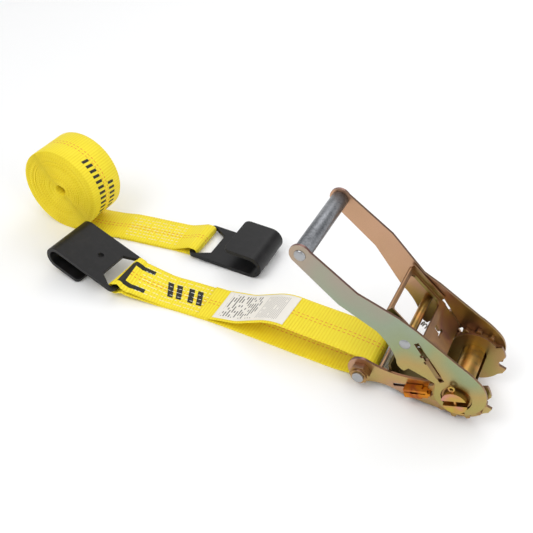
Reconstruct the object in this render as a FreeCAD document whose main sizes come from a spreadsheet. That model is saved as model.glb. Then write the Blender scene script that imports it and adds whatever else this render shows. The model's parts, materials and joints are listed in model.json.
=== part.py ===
import FreeCAD, Part
import math
import os

# A ratchet tie down: a hand ratchet with a short webbing strap and a flat hook on its frame,
# and a separate long strap, rolled up, with a second flat hook.
# The row frame: X runs along the ratchet towards its spindle, Y across it, Z up from the floor.

doc = FreeCAD.newDocument("ratchet_tie_down")
sheet = doc.addObject("Spreadsheet::Sheet", "Sizes")

SIZES = [
    ("spindle_x", 273, "spindle axis, from the middle of the whole object"),
    ("spindle_y", -38, "middle of the ratchet's width"),
    ("spindle_z", 31.6, "spindle axis above the floor"),
    ("plate_thick", 3, "frame and handle sheet steel"),
    ("frame_half", 27, "inside half-width of the frame"),
    ("frame_disc", 31.5, "radius of the frame round the spindle"),
    ("frame_top", 25.5, "radius of the frame over the spindle"),
    ("bolt_back", 98, "anchor bolt behind the spindle"),
    ("bolt_drop", 13.5, "anchor bolt below the spindle axis"),
    ("bolt_round", 6, "anchor bolt radius"),
    ("spacer_round", 8, "spacer tube radius"),
    ("bar_round", 12.5, "radius of the two half-round spindle bars together"),
    ("bar_flat", 3, "half the slot between the bars"),
    ("bar_reach", 45.6, "half the spindle's length"),
    ("slot_tilt", 20, "tilt of the spindle slot"),
    ("wheel_root", 24.6, "ratchet wheel root radius"),
    ("wheel_tip", 28.8, "ratchet wheel tip radius"),
    ("wheel_thick", 5, "ratchet wheel thickness"),
    ("wheel_in", 30.3, "inner face of a ratchet wheel"),
    ("wheel_boss", 14.92, "boss that the handle turns on"),
    ("handle_bore", 15, "hole of the handle round the boss"),
    ("handle_open", 40.75, "handle's angle up from lying along the strap"),
    ("handle_in", 35.6, "inner face of a handle plate at the spindle"),
    ("handle_wide", 47.8, "inner face of a handle plate at the grip"),
    ("bend_start", 99.6, "first bend of a handle plate"),
    ("bend_end", 146, "second bend of a handle plate"),
    ("grip_far", 206, "grip from the spindle"),
    ("grip_drop", 8, "grip below the handle's centre line"),
    ("grip_round", 8.75, "grip tube radius"),
    ("cross_far", 74.7, "crossbar from the spindle"),
    ("cross_round", 4.5, "crossbar tube radius"),
    ("pawl_slope", 11.4, "slope of the drive pawl's slot in the handle"),
    ("pawl_tip", 31.9, "tip of the drive pawl from the spindle, clear of the teeth"),
    ("pawl_half", 34.4, "half-width of the drive pawl"),
    ("stop_slope", 17.4, "slope of the stop pawl's slot in the frame"),
    ("stop_tip", 25.5, "tip of the stop pawl from the spindle"),
    ("web_width", 50.8, "webbing width"),
    ("web_thick", 1.8, "webbing thickness"),
    ("hook_width", 61.5, "flat hook width"),
    ("hook_length", 97, "flat hook length"),
    ("hook_height", 29.5, "flat hook height over its jaw"),
    ("hook_thick", 4.8, "flat hook plate thickness"),
    ("roll_round", 54.3, "radius of the rolled strap"),
]
for row, (alias, value, note) in enumerate(SIZES, start=1):
    sheet.set(f"A{row}", alias)
    sheet.set(f"B{row}", str(value))
    sheet.setAlias(f"B{row}", alias)
    sheet.set(f"C{row}", note)
doc.recompute()


def size(alias):
    return float(sheet.get(alias))


def vector(x, y, z):
    return FreeCAD.Vector(x, y, z)


def bind(thing, prop, expression):
    thing.setExpression(prop, expression)


# ---- building blocks ----


def path(start, steps):
    """Edges from start through steps: a point is a line to it, a pair of points is an arc."""
    edges = []
    here = vector(start[0], start[1], 0)
    for step in steps:
        if isinstance(step[0], tuple):
            middle = vector(step[0][0], step[0][1], 0)
            end = vector(step[1][0], step[1][1], 0)
            edges.append(Part.Arc(here, middle, end))
        else:
            end = vector(step[0], step[1], 0)
            edges.append(Part.LineSegment(here, end))
        here = end
    return edges


def slab(name, edges, thick, start, flat=False):
    """A padded sketch: upright in X and Z from y = start, or flat in X and Y from z = start."""
    body = doc.addObject("PartDesign::Body", name)
    drawing = body.newObject("Sketcher::SketchObject", name + "_sketch")
    role = "XY_Plane" if flat else "XZ_Plane"
    plane = [f for f in body.Origin.OriginFeatures if f.Role == role][0]
    drawing.AttachmentSupport = [(plane, "")]
    drawing.MapMode = "FlatFace"
    drawing.addGeometry(edges, False)
    pad = body.newObject("PartDesign::Pad", name + "_pad")
    pad.Profile = drawing
    bind(pad, "Length", thick)
    if flat:
        body.Placement.Base = vector(0, 0, start)
    else:
        pad.Reversed = True
        body.Placement.Base = vector(0, start, 0)
    drawing.Visibility = False
    return body


def box(name, low, high):
    made = doc.addObject("Part::Box", name)
    made.Length = high[0] - low[0]
    made.Width = high[1] - low[1]
    made.Height = high[2] - low[2]
    made.Placement.Base = vector(*low)
    return made


def rod(name, radius, x, z, low, high):
    """A cylinder along Y at x, z from y = low to high; its radius is an expression."""
    made = doc.addObject("Part::Cylinder", name)
    bind(made, "Radius", radius)
    made.Height = high - low
    made.Placement = FreeCAD.Placement(vector(x, low, z), FreeCAD.Rotation(vector(1, 0, 0), -90))
    return made


def fuse(name, shapes):
    made = doc.addObject("Part::MultiFuse", name)
    made.Shapes = shapes
    made.Refine = True
    return made


def cut(name, base, tools):
    made = doc.addObject("Part::Cut", name)
    made.Base = base
    made.Tool = tools[0] if len(tools) == 1 else fuse(name + "_tools", tools)
    return made


def common(name, first, second):
    made = doc.addObject("Part::MultiCommon", name)
    made.Shapes = [first, second]
    return made


def turned(thing, axis, angle):
    """Turns a solid about an axis through the origin, after its own Placement."""
    spin = FreeCAD.Rotation(vector(*axis), angle)
    thing.Placement = FreeCAD.Placement(vector(0, 0, 0), spin).multiply(thing.Placement)
    return thing


pieces = []


def piece(label, things):
    """Gathers one named piece from its solids, so that it has a Placement of its own."""
    made = doc.addObject("Part::Compound", label)
    made.Links = things
    made.Label = label
    pieces.append(made)
    return made


def on_spindle(label, things, angle="0"):
    """A piece drawn round the spindle axis, turned about it by angle."""
    made = piece(label, things)
    made.Placement.Rotation = FreeCAD.Rotation(vector(0, 1, 0), 1)
    bind(made, "Placement.Base.x", "Sizes.spindle_x")
    bind(made, "Placement.Base.y", "Sizes.spindle_y")
    bind(made, "Placement.Base.z", "Sizes.spindle_z")
    bind(made, "Placement.Rotation.Angle", angle)
    return made


def around(radius, degrees):
    return (radius * math.cos(math.radians(degrees)), radius * math.sin(math.radians(degrees)))


# ---- frame: two side plates joined by a floor web and a spring seat ----

bolt_x = -size("bolt_back")
bolt_z = -size("bolt_drop")
frame_in = size("frame_half")
thick = size("plate_thick")
frame_out = frame_in + thick
disc = size("frame_disc")
crown = size("frame_top")


def frame_side(name, start):
    eye_top = (bolt_x + 3.1, bolt_z + 14.7)
    eye_bottom = (bolt_x + 9, bolt_z - 12)
    outline = path(
        eye_bottom,
        [
            ((bolt_x - 15, bolt_z), eye_top),
            ((-64, -4), (-38, -0.2)),
            ((-27, 4.6), around(crown, 150)),
            (around(crown, 90), around(crown, 41)),
            around(disc, 38),
            (around(disc, 27), around(disc, 15)),
            (26.2, 0.6),
            ((25.2, -2.6), (27.2, -5.2)),
            (33.6, -7.3),
            (31.2, -13.6),
            around(disc, -32),
            (around(disc, -70), around(disc, -108)),
            ((-30, -29.4), (-54, -27)),
            ((-73, -23), eye_bottom),
        ],
    )
    side = slab(name, outline, "Sizes.plate_thick", start)
    bore = rod(name + "_bore", "Sizes.bar_round + 0.08", 0, 0, start - 1, start + thick + 1)
    bolt_hole = rod(
        name + "_bolt_hole", "Sizes.bolt_round + 0.06", bolt_x, bolt_z, start - 1, start + thick + 1
    )
    slot = box(name + "_slot", (-66.5, start - 1, -0.35), (-25, start + thick + 1, 3.25))
    turned(slot, (0, 1, 0), -size("stop_slope"))
    return cut(name + "_cut", side, [bore, bolt_hole, slot])


floor_web = box("floor_web", (-44, -frame_in - 0.5, -29.8), (-16, frame_in + 0.5, -26.8))
seat = box("spring_seat", (-83, -frame_in - 0.5, -21.5), (-81, frame_in + 0.5, -13))
sides = [frame_side("near_side", -frame_out), frame_side("far_side", frame_in)]
on_spindle("frame", [fuse("frame_body", sides + [floor_web, seat])])


# ---- anchor bolt, its lock nut and the spacer tube that the short strap runs round ----


nut_flats = 19


def hexagon(centre_x, centre_z, across_flats):
    corner = across_flats / math.sqrt(3)
    points = []
    for k in range(6):
        x, z = around(corner, 60 * k + 12)
        points.append((centre_x + x, centre_z + z))
    return path(points[-1], points)


bolt_end = frame_out + 12.5
head = slab("bolt_head", hexagon(bolt_x, bolt_z, nut_flats), "7.5", frame_out)
shank = rod("bolt_shank", "Sizes.bolt_round", bolt_x, bolt_z, -bolt_end, frame_out + 1)
on_spindle("anchor_bolt", [fuse("anchor_bolt_body", [head, shank])])

nut_block = slab("nut_block", hexagon(bolt_x, bolt_z, nut_flats), "8", -frame_out - 8)
nut_collar = rod("nut_collar", "8.3", bolt_x, bolt_z, -frame_out - 10.5, -frame_out - 7)
nut_hole = rod("nut_hole", "Sizes.bolt_round + 0.02", bolt_x, bolt_z, -bolt_end, -frame_out + 1)
nut_solid = fuse("nut_solid", [nut_block, nut_collar])
on_spindle("anchor_nut", [cut("anchor_nut_body", nut_solid, [nut_hole])])

tube = rod("spacer_wall", "Sizes.spacer_round", bolt_x, bolt_z, -26.8, 26.8)
tube_hole = rod("spacer_hole", "Sizes.bolt_round + 0.3", bolt_x, bolt_z, -28, 28)
on_spindle("anchor_spacer", [cut("anchor_spacer_body", tube, [tube_hole])])


# ---- spindle: two half-round bars keyed into two ratchet wheels, held by cotter pins ----

bar = size("bar_round")
tilt = size("slot_tilt")


def half_moon(radius, flat, side):
    """A circle's part beyond a flat, on the upper (1) or lower (-1) side of the tilted slot."""
    low = math.degrees(math.asin(flat / radius))
    turn = tilt if side > 0 else tilt + 180
    start = around(radius, turn + low)
    end = around(radius, turn + 180 - low)
    return path(start, [(around(radius, turn + 90), end), start])


pin_reach = 42.6
for name, side in (("spindle_bar_upper", 1), ("spindle_bar_lower", -1)):
    moon = half_moon(bar, size("bar_flat"), side)
    solid = slab(name + "_stock", moon, "2 * Sizes.bar_reach", -size("bar_reach"))
    holes = []
    for end in (-1, 1):
        hole = doc.addObject("Part::Cylinder", f"{name}_pin_hole")
        hole.Radius = 1.65
        hole.Height = 40
        hole.Placement.Base = vector(0, end * pin_reach, -20)
        holes.append(turned(hole, (0, 1, 0), -tilt))
    on_spindle(name, [cut(name + "_body", solid, holes)])


def teeth():
    points = []
    for k in range(12):
        peak = 31 + 30 * k
        points.append(around(size("wheel_root"), peak - 9.5))
        points.append(around(size("wheel_tip"), peak - 3.5))
        points.append(around(size("wheel_tip"), peak + 3.5))
        points.append(around(size("wheel_root"), peak + 9.5))
    return path(points[-1], points)


boss_out = 36.7
wheel_out = size("wheel_in") + size("wheel_thick")
for name, start, low, high in (
    ("ratchet_wheel_near", -wheel_out, -boss_out, -wheel_out + 1),
    ("ratchet_wheel_far", size("wheel_in"), wheel_out - 1, boss_out),
):
    toothed = slab(name + "_teeth", teeth(), "Sizes.wheel_thick", start)
    boss = rod(name + "_boss", "Sizes.wheel_boss", 0, 0, low, high)
    blank = fuse(name + "_blank", [toothed, boss])
    keys = []
    for side in (1, -1):
        moon = half_moon(bar + 0.04, size("bar_flat") - 0.04, side)
        keys.append(slab(f"{name}_key", moon, "12", min(start, low) - 2))
    on_spindle(name, [cut(name + "_body", blank, keys)])

for name, reach in (("cotter_pin_near", -pin_reach), ("cotter_pin_far", pin_reach)):
    stem = doc.addObject("Part::Cylinder", name + "_stem")
    stem.Radius = 1.5
    stem.Height = 28.5
    stem.Placement.Base = vector(0, reach, -14.5)
    ring = doc.addObject("Part::Torus", name + "_eye")
    ring.Radius1 = 2.6
    ring.Radius2 = 1.1
    ring.Placement = FreeCAD.Placement(
        vector(0, reach, 16.2), FreeCAD.Rotation(vector(1, 0, 0), 90)
    )
    leg = doc.addObject("Part::Cylinder", name + "_leg")
    leg.Radius = 1.1
    leg.Height = 7
    leg.Placement = FreeCAD.Placement(
        vector(-0.4, reach, -13.9), FreeCAD.Rotation(vector(0, 1, 0), 100)
    )
    pin = fuse(name + "_body", [stem, ring, leg])
    on_spindle(name, [pin], "-Sizes.slot_tilt")


# ---- stop pawl: drawn along -X from the spindle, then turned down to the frame's slots ----

tip = size("stop_tip")
rail = 1.5  # half the pawl's plate
lift = 1.45  # the slot's line runs above the axis
blade = box("stop_blade", (-68, -26.6, lift - rail), (-tip, 26.6, lift + rail))
bite = box("stop_bite", (-38, -20, lift - 5), (-tip + 5, 20, lift + 5))
wings = box("stop_wings", (-51, -40, lift - rail), (-tip, 40, lift + rail))
rim = box("stop_rim", (-69, -26.6, lift - rail), (-66, 26.6, 24))
hems = []
splits = []
for low, high in ((-40, -30.6), (30.6, 40)):
    hems.append(box("stop_hem", (-52.5, low, lift - 6), (-34.4, high, lift + 4)))
for low, high in ((-40, -35.9), (35.9, 40)):
    hems.append(box("stop_hem_nose", (-36, low, lift - 4), (-27.8, high, lift + 4)))
    splits.append(box("stop_split", (-54, low - 2, lift + 0.1), (-30, high + 2, lift + 1.1)))
    splits.append(box("stop_split", (-45, low - 2, lift - 0.7), (-38, high + 2, lift + 1.9)))
gap = box("stop_gap", (-54, -26.6, lift - 5), (-tip + 5, 26.6, lift + 5))
arms = cut("stop_arms", wings, [gap])
inner = cut("stop_inner", blade, [bite])
latch = cut("stop_latch", fuse("stop_solid", [inner, arms, rim] + hems), splits)
on_spindle("stop_pawl", [latch], "-Sizes.stop_slope")


def spring(label, from_x, to_x, z, radius, angle):
    coil = doc.addObject("Part::Cylinder", label + "_outside")
    core = doc.addObject("Part::Cylinder", label + "_inside")
    for part, r in ((coil, radius), (core, radius - 1)):
        part.Radius = r
        part.Height = to_x - from_x
        part.Placement = FreeCAD.Placement(
            vector(from_x, 0, z), FreeCAD.Rotation(vector(0, 1, 0), 90)
        )
    on_spindle(label, [cut(label + "_body", coil, [core])], angle)


spring("stop_pawl_spring", -79, -69.2, 5.5, 3.6, "-Sizes.stop_slope")


# ---- handle: drawn lying along -X with its upper edge at +Z, then opened ----

grip_x = -size("grip_far")
grip_z = -size("grip_drop")
cross_x = -size("cross_far")
slope = size("pawl_slope")


def handle_outline():
    return path(
        (-203.5, 3.2),
        [
            ((grip_x - 11.4, grip_z), (-204.7, -18.8)),
            (-142, -15.2),
            (-99, -14.8),
            ((-80, -16.3), (-64, -21.9)),
            ((-54.5, -25.6), (-49.8, -24.2)),
            (-49.9, -17.9),
            ((-33, -10.4), (-23.8, -6.8)),
            (-12.4, -18.3),
            ((18.3, -10.6), (22.4, 9.8)),
            ((15, 25.5), (-3, 33.4)),
            ((-14, 33), (-30, 30)),
            (-80, 21.2),
            (-98.5, 16.4),
            (-203.5, 3.2),
        ],
    )


def along_slot(u, low, high, start, end, length):
    """A box on the drive pawl's slot line, from u over length, between low and high of it."""
    drop = 3.09  # the slot's line passes below the axis
    made = box("on_slot", (-u - length, start, low - drop), (-u, end, high - drop))
    return turned(made, (0, 1, 0), slope)


def handle_plate(name, side):
    inner_y = size("handle_in")
    wide_y = size("handle_wide")
    low, high = sorted((side * (inner_y - 2), side * (wide_y + thick + 2)))
    outline = slab(name + "_outline", handle_outline(), str(high - low), low)
    a, b = -size("bend_start"), -size("bend_end")
    plan = [
        (a, side * inner_y),
        (b, side * wide_y),
        (-225, side * wide_y),
        (-225, side * (wide_y + thick)),
        (b, side * (wide_y + thick)),
        (a, side * (inner_y + thick)),
        (30, side * (inner_y + thick)),
        (30, side * inner_y),
    ]
    bent = slab(name + "_bent", path(plan[-1], plan), "90", -45, flat=True)
    plate = common(name + "_plate", outline, bent)
    tools = [
        rod(name + "_bore", "Sizes.handle_bore", 0, 0, low, high),
        rod(name + "_cross_hole", "3.1", cross_x, 0, low, high),
        rod(name + "_grip_hole", "4.1", grip_x, grip_z, low, high),
        along_slot(22, -2.6, 2.6, low, high, 49),
        along_slot(46, -4.9, -2, low, high, 3),
        along_slot(54, -4.9, -2, low, high, 3),
    ]
    on_spindle(name, [cut(name + "_body", plate, tools)], "Sizes.handle_open")


handle_plate("handle_plate_near", -1)
handle_plate("handle_plate_far", 1)

wide = size("handle_wide")
grip_shell = rod("grip_shell", "Sizes.grip_round", grip_x, grip_z, -wide + 0.1, wide - 0.1)
grip_core = rod("grip_core", "Sizes.grip_round - 1.5", grip_x, grip_z, -wide - 1, wide + 1)
on_spindle("grip_tube", [cut("grip_tube_body", grip_shell, [grip_core])], "Sizes.handle_open")


def riveted(label, radius, head_radius, x, z, half, proud):
    """A rod across the handle with a low head on each end."""
    shaft = rod(label + "_shaft", radius, x, z, -half - 0.5, half + 0.5)
    near = rod(label + "_head", head_radius, x, z, -half - proud, -half)
    far = rod(label + "_head", head_radius, x, z, half, half + proud)
    on_spindle(label, [fuse(label + "_body", [shaft, near, far])], "Sizes.handle_open")


narrow = size("handle_in")
riveted("grip_rod", "4", "6", grip_x, grip_z, wide + thick, 2.4)
cross_shell = rod("cross_shell", "Sizes.cross_round", cross_x, 0, -narrow + 0.1, narrow - 0.1)
cross_core = rod("cross_core", "3.3", cross_x, 0, -narrow - 1, narrow + 1)
on_spindle("crossbar_tube", [cut("crossbar_body", cross_shell, [cross_core])], "Sizes.handle_open")
riveted("crossbar_rivet", "3", "5", cross_x, 0, narrow + thick, 1.6)


# ---- drive pawl: a windowed plate that slides in the handle's slots ----

half = size("pawl_half")
first = size("pawl_tip")
knee = 62  # where the plate bends level with the handle


def rounded_window(low, high, corner):
    """A rectangle from low to high whose corners are arcs."""
    x0, y0 = low
    x1, y1 = high
    short = corner * (1 - math.sqrt(0.5))
    return path(
        (x0 + corner, y0),
        [
            (x1 - corner, y0),
            ((x1 - short, y0 + short), (x1, y0 + corner)),
            (x1, y1 - corner),
            ((x1 - short, y1 - short), (x1 - corner, y1)),
            (x0 + corner, y1),
            ((x0 + short, y1 - short), (x0, y1 - corner)),
            (x0, y0 + corner),
            ((x0 + short, y0 + short), (x0 + corner, y0)),
        ],
    )


def pawl_plate():
    blade = along_slot(first, -rail, rail, -half, half, knee - first)
    reach = box("pawl_reach", (-112, -half, 8.1), (-knee + 2.5, half, 11.1))
    ears = []
    for low, high in ((-40, -half + 1), (half - 1, 40)):
        ears.append(along_slot(first, -rail, rail, low, high, 18))
    for low, high in ((-40, -35.5), (35.5, 40)):
        ears.append(along_slot(28.6, -2.2, 2.2, low, high, 22))
    rails = []
    for low, high in ((-half, -half + 1.8), (half - 1.8, half)):
        rails.append(box("pawl_rail", (-112, low, 8.1), (-66, high, 16)))
    pull = rod("pawl_pull", "2.2", -110.4, 9.6, -half, half)
    tab = box("pawl_tab", (-47, -4, -2.5), (-45, 4, 5))
    solid = fuse("pawl_solid", [blade, reach, pull, tab] + ears + rails)
    window = slab("pawl_window", rounded_window((-107.6, -29.4), (-66, 29.4), 6), "20", 0, flat=True)
    hole = along_slot(49, -6, 6, -2.2, 2.2, 12)
    cross = along_slot(49, -6, 6, -6, 6, 3.4)
    return cut("drive_pawl_body", solid, [window, hole, cross])


on_spindle("drive_pawl", [pawl_plate()], "Sizes.handle_open")
spring("drive_pawl_spring", -69.4, -47.3, 1.2, 2.6, "Sizes.handle_open")


# ---- flat hooks: drawn with the end bar at x = 0 and the jaw curling up over +X ----

hook_w = size("hook_width")
hook_t = size("hook_thick")
hook_top = size("hook_height")
bend = hook_top / 2
bend_x = size("hook_length") - bend
lip_x = 48
bar_mid = 3
bar_z = hook_t / 2


lip_round = 6


def flat_hook(label):
    """Returns the hook's body; its end bar, slot and jaw are in the hook's own coordinates."""
    profile = path(
        (0, 0),
        [
            (bend_x, 0),
            ((bend_x + bend, bend), (bend_x, hook_top)),
            (lip_x, hook_top),
            (lip_x, hook_top - hook_t),
            (bend_x, hook_top - hook_t),
            ((bend_x + bend - hook_t, bend), (bend_x, hook_t)),
            (0, hook_t),
            (0, 0),
        ],
    )
    strip = slab(label + "_strip", profile, "Sizes.hook_width", -hook_w / 2)
    outline = box(label + "_outline", (0, -hook_w / 2, -5), (120, hook_w / 2, 40))
    rounding = doc.addObject("Part::Fillet", label + "_corners")
    doc.recompute()
    rounding.Base = outline
    upright = []
    for number, edge in enumerate(outline.Shape.Edges, start=1):
        if edge.BoundBox.ZLength > 30 and edge.BoundBox.XMin < 1:
            upright.append((number, 7, 7))
    rounding.Edges = upright
    body = common(label + "_body", strip, rounding)
    slot = [(6, -26.3), (10, -26.3), (25, -18), (25, 18), (10, 26.3), (6, 26.3)]
    opening = slab(label + "_slot", path(slot[-1], slot), "20", -5, flat=True)
    hole = doc.addObject("Part::Cylinder", label + "_hole")
    hole.Radius = 3.5
    hole.Height = 20
    hole.Placement.Base = vector(44, 0, -5)
    trims = []
    for side in (-1, 1):
        middle_y = side * (hook_w / 2 - lip_round)
        edge_y = side * (hook_w / 2 + 1)
        low_z = hook_top - hook_t - 2
        corner = box(
            label + "_lip_corner",
            (lip_x - 1, min(middle_y, edge_y), low_z),
            (lip_x + lip_round, max(middle_y, edge_y), hook_top + 1),
        )
        arc = doc.addObject("Part::Cylinder", label + "_lip_arc")
        arc.Radius = lip_round
        arc.Height = 20
        arc.Placement.Base = vector(lip_x + lip_round, middle_y, low_z - 1)
        trims.append(cut(label + "_lip_trim", corner, [arc]))
    return cut(label + "_cut", body, [opening, hole] + trims)


def eye(name):
    """Webbing round the end bar of a hook, in the hook's own coordinates."""
    w = size("web_width") / 2
    outside = rod(name + "_outside", "4.2 + Sizes.web_thick", bar_mid, bar_z, -w, w)
    inside = rod(name + "_inside", "4.2", bar_mid, bar_z, -w - 1, w + 1)
    return cut(name, outside, [inside])


def hook_place(x, y, z, yaw, pitch):
    """A hook's end corner at x, y, z from the floor under the spindle, pitched, then turned."""
    turn = FreeCAD.Rotation(vector(0, 0, 1), yaw)
    turn = turn.multiply(FreeCAD.Rotation(vector(0, 1, 0), pitch))
    return FreeCAD.Placement(vector(size("spindle_x") + x, size("spindle_y") + y, z), turn)


# The short strap's hook lies on its jaw, mouth down; the long strap's hook lies on its plate.
short_hook_at = hook_place(-390.7, -5, 13.9, -6.6, 197.4)
long_hook_at = hook_place(-357, 98.4, 3.75, 0, 2.6)
for label, place in (("hook_short", short_hook_at), ("hook_long", long_hook_at)):
    hook = piece(label, [flat_hook(label)])
    hook.Placement = place


# ---- webbing: plain solids along the line that each strap takes ----

ply = size("web_thick")
half_web = size("web_width") / 2
floor_place = FreeCAD.Placement(
    vector(size("spindle_x"), size("spindle_y"), 0), FreeCAD.Rotation(vector(0, 0, 1), 0)
)


def in_world(shape, place):
    moved = shape.copy()
    moved.Placement = place.multiply(moved.Placement)
    return moved


def prism(wire, low, high):
    """A flat outline in X and Z, drawn out along Y from low to high."""
    face = Part.Face(wire)
    face.translate(vector(0, low, 0))
    return face.extrude(vector(0, high - low, 0))


def upright_wire(points):
    return Part.makePolygon([vector(x, 0, z) for x, z in points])


def rounded_wire(points, radius):
    """A closed wire through points in X and Z, with each corner rounded by an arc."""
    edges = []
    count = len(points)
    ends = []
    for k in range(count):
        before = vector(points[k - 1][0], 0, points[k - 1][1])
        here = vector(points[k][0], 0, points[k][1])
        after = vector(points[(k + 1) % count][0], 0, points[(k + 1) % count][1])
        back = (before - here).normalize()
        ahead = (after - here).normalize()
        half_turn = (math.pi - back.getAngle(ahead)) / 2
        reach = radius[k] * math.tan(half_turn)
        start = here + back * reach
        end = here + ahead * reach
        middle = here + (back + ahead).normalize() * (
            radius[k] / math.cos(half_turn) - radius[k]
        )
        ends.append((start, middle, end))
    for k in range(count):
        start, middle, end = ends[k]
        edges.append(Part.Arc(start, middle, end).toShape())
        edges.append(Part.LineSegment(end, ends[(k + 1) % count][0]).toShape())
    return Part.Wire(edges)


doc.recompute()

# The short strap is doubled: from the hook's bar the two layers are sewn together, then they
# part, run to the anchor and round the spacer tube.
bolt_up = size("spindle_z") + bolt_z
loop_points = [
    (-292, 0),
    (-128, 0),
    (bolt_x + 9, bolt_up - 12.6),
    (bolt_x + 12.4, bolt_up + 9),
    (-125, 32.8),
    (-205, 34),
    (-247, 13),
    (-279, 4.2),
    (-292, 4.2),
]
loop_rounding = [0.5, 30, 9.5, 9.5, 40, 60, 40, 20, 0.5]
outer_loop = rounded_wire(loop_points, loop_rounding)
inner_points = [
    (-272, ply),
    (-128.5, ply),
    (bolt_x + 6.8, bolt_up - 10.4),
    (bolt_x + 10.2, bolt_up + 8),
    (-125, 30.9),
    (-204.5, 32),
    (-246, 11.1),
]
inner_rounding = [0.4, 28, 7.8, 7.8, 38, 58, 38]
inner_loop = rounded_wire(inner_points, inner_rounding)
loop = prism(outer_loop, -half_web, half_web).cut(prism(inner_loop, -half_web - 1, half_web + 1))
spacer_room = Part.makeCylinder(9.1, 80, vector(bolt_x, -40, bolt_up), vector(0, 1, 0))
loop = loop.cut(spacer_room)

short_eye = eye("short_strap_eye")
long_eye = eye("long_strap_eye")
doc.recompute()


def sewn(start_x, end_x, points, y_start, y_end):
    """A doubled stretch from x, y to x, y whose outline in X and Z is points."""
    body = prism(upright_wire(points), -half_web, half_web)
    yaw = math.degrees(math.atan2(y_end - y_start, end_x - start_x))
    body.translate(vector(-start_x, 0, 0))
    body.rotate(vector(0, 0, 0), vector(0, 0, 1), yaw)
    body.translate(vector(start_x, y_start, 0))
    return body


bar_seen = short_hook_at.multVec(vector(bar_mid, 0, bar_z)) - floor_place.Base
seam = [
    (bar_seen.x + 4.5, bar_seen.z - 3.2),
    (-345, 0),
    (-288, 0),
    (-288, 4),
    (-345, 4),
    (bar_seen.x + 4.5, bar_seen.z + 1.2),
    (bar_seen.x + 4.5, bar_seen.z - 3.2),
]
short_seam = sewn(bar_seen.x, -288, seam, bar_seen.y, 0)
bar_hollow = Part.makeCylinder(4.2, 80, vector(bar_mid, -40, bar_z), vector(0, 1, 0))


def strap_piece(label, solid):
    made = doc.addObject("Part::Feature", label)
    made.Label = label
    made.Shape = solid
    made.Placement = floor_place.multiply(made.Placement)
    pieces.append(made)
    return made


def from_hook(shape, place):
    """A shape in a hook's coordinates, brought to the straps' own."""
    moved = in_world(shape, place)
    moved.translate(vector(-floor_place.Base.x, -floor_place.Base.y, 0))
    return moved


strap = loop.fuse([short_seam, from_hook(short_eye.Shape, short_hook_at)])
strap = strap.cut(from_hook(bar_hollow, short_hook_at)).removeSplitter()
strap_piece("short_strap", strap)

# The label lies on the upper layer, from the seam towards the ratchet.
label_line = [(-277, 4.6), (-262, 8.6), (-247, 13.4), (-226, 23.8), (-208, 32.6), (-190, 34.1)]
label_top = [(x - 0.2, z + 0.6) for x, z in label_line]
label_wire = upright_wire(label_line + label_top[::-1] + label_line[:1])
label_solid = prism(label_wire, -23, 23).cut(prism(outer_loop, -30, 30))
strap_piece("strap_label", label_solid)

# The long strap: a roll with its tail running over the floor to the second hook.
roll_x, roll_y = -524.7, 81.1
roll_yaw = 86.6
roll = Part.makeCylinder(size("roll_round"), 2 * half_web, vector(0, 0, -half_web))
roll.rotate(vector(0, 0, 0), vector(0, 1, 0), 90)
roll.rotate(vector(0, 0, 0), vector(0, 0, 1), roll_yaw)
roll.translate(vector(roll_x, roll_y, size("roll_round")))
strap_piece("strap_roll", roll)

far_bar = long_hook_at.multVec(vector(bar_mid, 0, bar_z)) - floor_place.Base
tail_line = [
    (roll_x - 6, 0),
    (-380, 0),
    (far_bar.x - 4.4, far_bar.z - 3.4),
    (far_bar.x - 4.4, far_bar.z + 1.4),
    (-380, 3.4),
    (roll_x - 6, 3.4),
    (roll_x - 6, 0),
]
tail = sewn(roll_x, far_bar.x, tail_line, roll_y, far_bar.y)
tail = tail.fuse(from_hook(long_eye.Shape, long_hook_at))
tail = tail.cut([from_hook(bar_hollow, long_hook_at), roll]).removeSplitter()
strap_piece("strap_tail", tail)


# ---- check and write ----

doc.recompute()
for thing in doc.Objects:
    if "Invalid" in thing.State or "Error" in thing.State:
        raise RuntimeError(f"{thing.Name} failed: {thing.State}")

os.makedirs("parts", exist_ok=True)
for made in pieces:
    if made.Shape.isNull() or not made.Shape.isValid():
        raise RuntimeError(f"{made.Label} has no sound shape")
    made.Shape.exportStep(f"parts/{made.Label}.step")
    extent = made.Shape.BoundBox
    print(
        f"{made.Label}: {len(made.Shape.Solids)} solid, {made.Shape.Volume / 1000:.1f} cm3,"
        f" x {extent.XMin:.1f} to {extent.XMax:.1f}, y {extent.YMin:.1f} to {extent.YMax:.1f},"
        f" z {extent.ZMin:.1f} to {extent.ZMax:.1f}"
    )
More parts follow.
